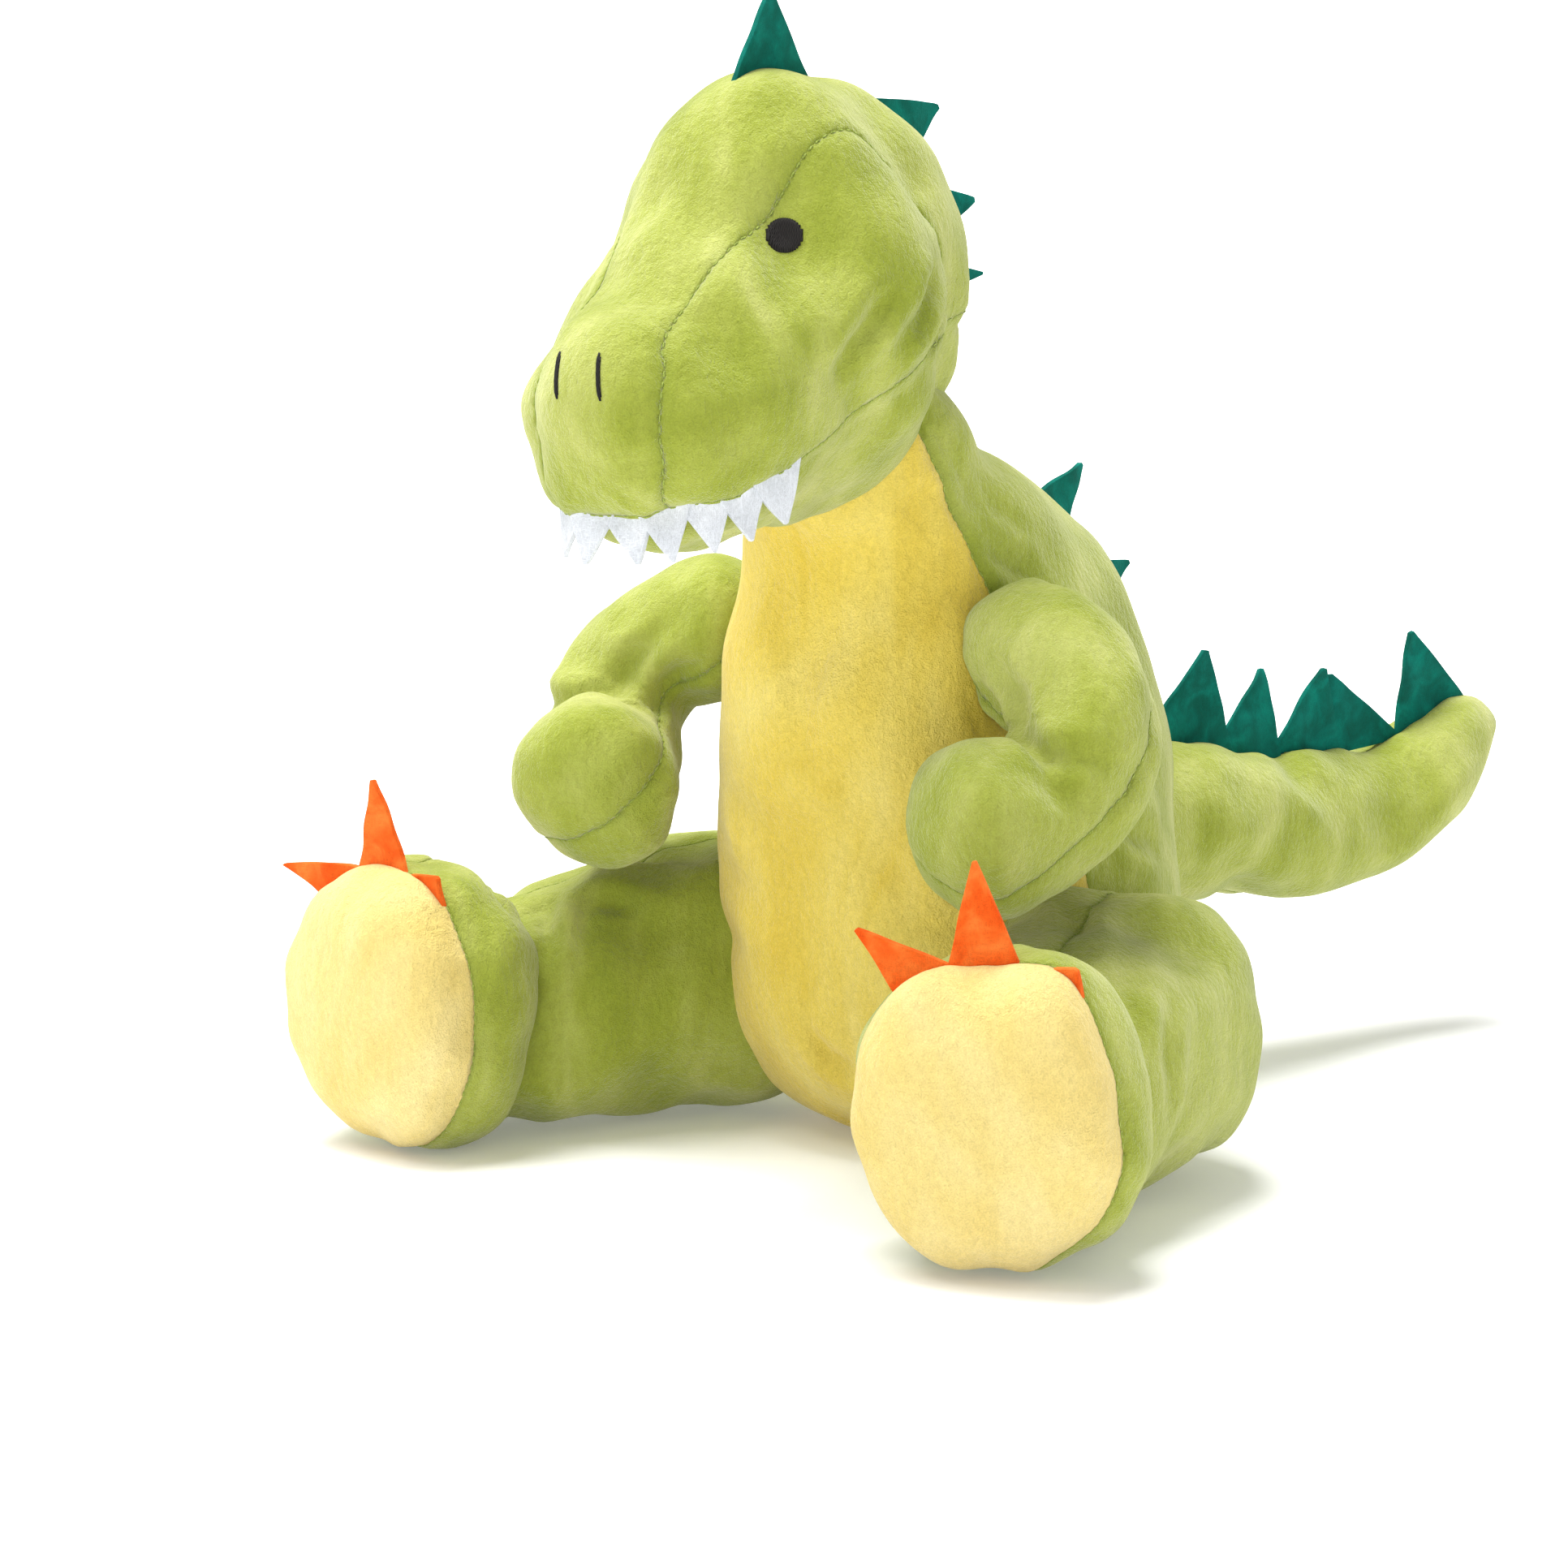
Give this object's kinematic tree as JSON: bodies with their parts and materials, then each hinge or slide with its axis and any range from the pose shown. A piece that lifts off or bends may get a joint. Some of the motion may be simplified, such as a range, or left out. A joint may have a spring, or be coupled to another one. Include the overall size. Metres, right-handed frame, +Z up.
{
  "type": "stuffed toy dinosaur",
  "caption": "Seated plush dinosaur with a yellow belly, felt spines, teeth and claws, and a head, arms, legs and tail that flex at sewn joints",
  "frame": {"origin": "on the ground under the seat, in the middle plane, below the front-to-back middle of the belly's widest sections", "axes": "+Z up, the toy faces -Y, +X is the toy's own left"},
  "size_m": [0.3009, 0.4376, 0.3456],
  "materials": {
    "belly_panel": "yellow short-pile plush",
    "body_left_panel": "green short-pile plush",
    "body_right_panel": "green short-pile plush",
    "torso_stuffing": "loose white polyester fibre",
    "back_spine_1": "dark green sheet felt",
    "back_spine_2": "dark green sheet felt",
    "back_spine_3": "dark green sheet felt",
    "neck_stuffing": "loose white polyester fibre",
    "head_top_panel": "green short-pile plush",
    "head_left_panel": "green short-pile plush",
    "head_right_panel": "green short-pile plush",
    "head_chin_panel": "green short-pile plush",
    "head_stuffing": "loose white polyester fibre",
    "head_spine_1": "dark green sheet felt",
    "head_spine_2": "dark green sheet felt",
    "head_spine_3": "dark green sheet felt",
    "head_spine_4": "dark green sheet felt",
    "tooth_1": "white sheet felt",
    "tooth_2": "white sheet felt",
    "tooth_3": "white sheet felt",
    "tooth_4": "white sheet felt",
    "tooth_5": "white sheet felt",
    "tooth_6": "white sheet felt",
    "tooth_7": "white sheet felt",
    "tooth_8": "white sheet felt",
    "tooth_9": "white sheet felt",
    "tooth_10": "white sheet felt",
    "eye_left": "black embroidery thread",
    "eye_right": "black embroidery thread",
    "nostril_left": "black embroidery thread",
    "nostril_right": "black embroidery thread",
    "tail_left_panel": "green short-pile plush",
    "tail_right_panel": "green short-pile plush",
    "tail_stuffing": "loose white polyester fibre",
    "tail_spine_1": "dark green sheet felt",
    "tail_spine_2": "dark green sheet felt",
    "tail_spine_3": "dark green sheet felt",
    "tail_spine_4": "dark green sheet felt",
    "tail_spine_5": "dark green sheet felt",
    "arm_left_outer_panel": "green short-pile plush",
    "arm_left_inner_panel": "green short-pile plush",
    "arm_left_stuffing": "loose white polyester fibre",
    "leg_left_inner_panel": "green short-pile plush",
    "leg_left_outer_panel": "green short-pile plush",
    "leg_left_sole": "pale yellow short-pile plush",
    "leg_left_stuffing": "loose white polyester fibre",
    "claw_left_inner": "orange sheet felt",
    "claw_left_middle": "orange sheet felt",
    "claw_left_outer": "orange sheet felt",
    "arm_right_outer_panel": "green short-pile plush",
    "arm_right_inner_panel": "green short-pile plush",
    "arm_right_stuffing": "loose white polyester fibre",
    "leg_right_inner_panel": "green short-pile plush",
    "leg_right_outer_panel": "green short-pile plush",
    "leg_right_sole": "pale yellow short-pile plush",
    "leg_right_stuffing": "loose white polyester fibre",
    "claw_right_inner": "orange sheet felt",
    "claw_right_middle": "orange sheet felt",
    "claw_right_outer": "orange sheet felt"
  },
  "bodies": {
    "torso": {"belly_panel": "belly_panel", "body_left_panel": "body_left_panel", "body_right_panel": "body_right_panel", "torso_stuffing": "torso_stuffing", "back_spine_1": "back_spine_1", "back_spine_2": "back_spine_2", "back_spine_3": "back_spine_3"},
    "neck": {"neck_stuffing": "neck_stuffing"},
    "head": {"head_top_panel": "head_top_panel", "head_left_panel": "head_left_panel", "head_right_panel": "head_right_panel", "head_chin_panel": "head_chin_panel", "head_stuffing": "head_stuffing", "head_spine_1": "head_spine_1", "head_spine_2": "head_spine_2", "head_spine_3": "head_spine_3", "head_spine_4": "head_spine_4", "tooth_1": "tooth_1", "tooth_2": "tooth_2", "tooth_3": "tooth_3", "tooth_4": "tooth_4", "tooth_5": "tooth_5", "tooth_6": "tooth_6", "tooth_7": "tooth_7", "tooth_8": "tooth_8", "tooth_9": "tooth_9", "tooth_10": "tooth_10", "eye_left": "eye_left", "eye_right": "eye_right", "nostril_left": "nostril_left", "nostril_right": "nostril_right"},
    "tail": {"tail_left_panel": "tail_left_panel", "tail_right_panel": "tail_right_panel", "tail_stuffing": "tail_stuffing", "tail_spine_1": "tail_spine_1", "tail_spine_2": "tail_spine_2", "tail_spine_3": "tail_spine_3", "tail_spine_4": "tail_spine_4", "tail_spine_5": "tail_spine_5"},
    "arm_left": {"arm_left_outer_panel": "arm_left_outer_panel", "arm_left_inner_panel": "arm_left_inner_panel", "arm_left_stuffing": "arm_left_stuffing"},
    "leg_left": {"leg_left_inner_panel": "leg_left_inner_panel", "leg_left_outer_panel": "leg_left_outer_panel", "leg_left_sole": "leg_left_sole", "leg_left_stuffing": "leg_left_stuffing", "claw_left_inner": "claw_left_inner", "claw_left_middle": "claw_left_middle", "claw_left_outer": "claw_left_outer"},
    "arm_right": {"arm_right_outer_panel": "arm_right_outer_panel", "arm_right_inner_panel": "arm_right_inner_panel", "arm_right_stuffing": "arm_right_stuffing"},
    "leg_right": {"leg_right_inner_panel": "leg_right_inner_panel", "leg_right_outer_panel": "leg_right_outer_panel", "leg_right_sole": "leg_right_sole", "leg_right_stuffing": "leg_right_stuffing", "claw_right_inner": "claw_right_inner", "claw_right_middle": "claw_right_middle", "claw_right_outer": "claw_right_outer"}
  },
  "joints": [
    {"name": "head_turn", "type": "hinge", "parent": "torso", "child": "neck", "pos_m": [0, -0.054, 0.21], "axis": [0, -0.4067, 0.9135], "range_deg": [-25, 25]},
    {"name": "head_nod", "type": "hinge", "parent": "neck", "child": "head", "pos_m": [0, -0.054, 0.21], "axis": [1, 0, 0], "range_deg": [-10, 10], "stiffness_Nm_per_rad": 1.2},
    {"name": "arm_left_raise", "type": "hinge", "parent": "torso", "child": "arm_left", "pos_m": [0.059, -0.046, 0.157], "axis": [0, -1, 0], "range_deg": [0, 50], "stiffness_Nm_per_rad": 0.12},
    {"name": "arm_right_raise", "type": "hinge", "parent": "torso", "child": "arm_right", "pos_m": [-0.059, -0.046, 0.157], "axis": [0, 1, 0], "range_deg": [0, 50], "stiffness_Nm_per_rad": 0.12},
    {"name": "leg_left_splay", "type": "hinge", "parent": "torso", "child": "leg_left", "pos_m": [0.075, -0.028, 0.045], "axis": [0, 0, 1], "range_deg": [0, 22], "stiffness_Nm_per_rad": 0.3},
    {"name": "leg_right_splay", "type": "hinge", "parent": "torso", "child": "leg_right", "pos_m": [-0.075, -0.028, 0.045], "axis": [0, 0, -1], "range_deg": [0, 22], "stiffness_Nm_per_rad": 0.3},
    {"name": "tail_wag", "type": "hinge", "parent": "torso", "child": "tail", "pos_m": [0, 0.066, 0.08], "axis": [0, 0, 1], "range_deg": [-5, 25], "stiffness_Nm_per_rad": 0.3}
  ]
}
